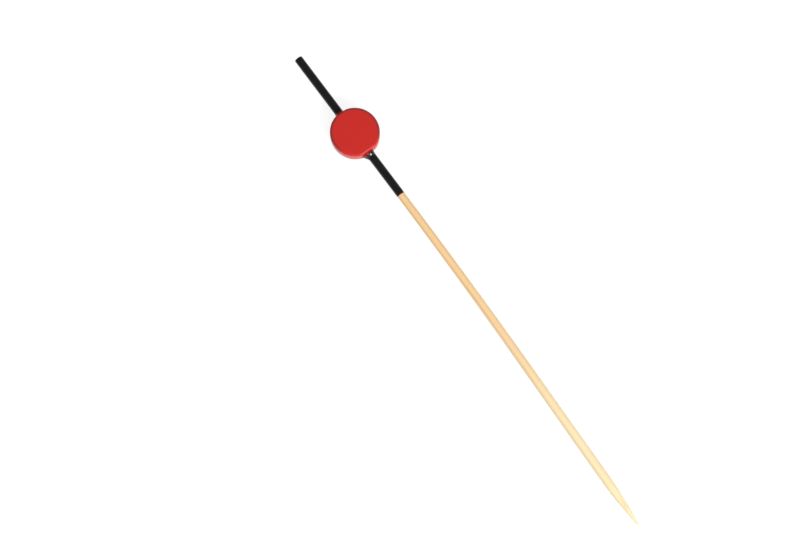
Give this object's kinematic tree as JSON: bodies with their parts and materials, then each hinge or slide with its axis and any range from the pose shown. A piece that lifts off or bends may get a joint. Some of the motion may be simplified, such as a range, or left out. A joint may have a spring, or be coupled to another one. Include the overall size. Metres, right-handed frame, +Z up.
{
  "type": "beaded bamboo skewer",
  "caption": "Slim pointed bamboo pick with a black lacquered handle and a red disc bead glued on near its top, for serving canapes, fruit and other party food.",
  "frame": {"origin": "on the table that the skewer lies on, under the middle of the box round it", "axes": "+X along the skewer from the cut end of its handle to its point, +Y sideways, +Z up from the table"},
  "size_m": [0.12, 0.0104, 0.0041],
  "materials": {
    "bamboo": "sanded bamboo, satin, with fine lengthwise fibres",
    "black_lacquer": "thin dipped lacquer, semi-gloss, with the fibres just showing through",
    "plain_wood": "bare turned wood, hidden under the lacquer",
    "red_lacquer": "glossy red lacquer with softly rounded edges",
    "dried_glue": "dried clear glue, glossy, dark over the black lacquer"
  },
  "bodies": {
    "root": {"bamboo_shaft": "bamboo", "black_lacquer_coat": "black_lacquer", "wooden_disc": "plain_wood", "red_lacquer_coat": "red_lacquer", "glue_bond": "dried_glue"}
  },
  "joints": []
}
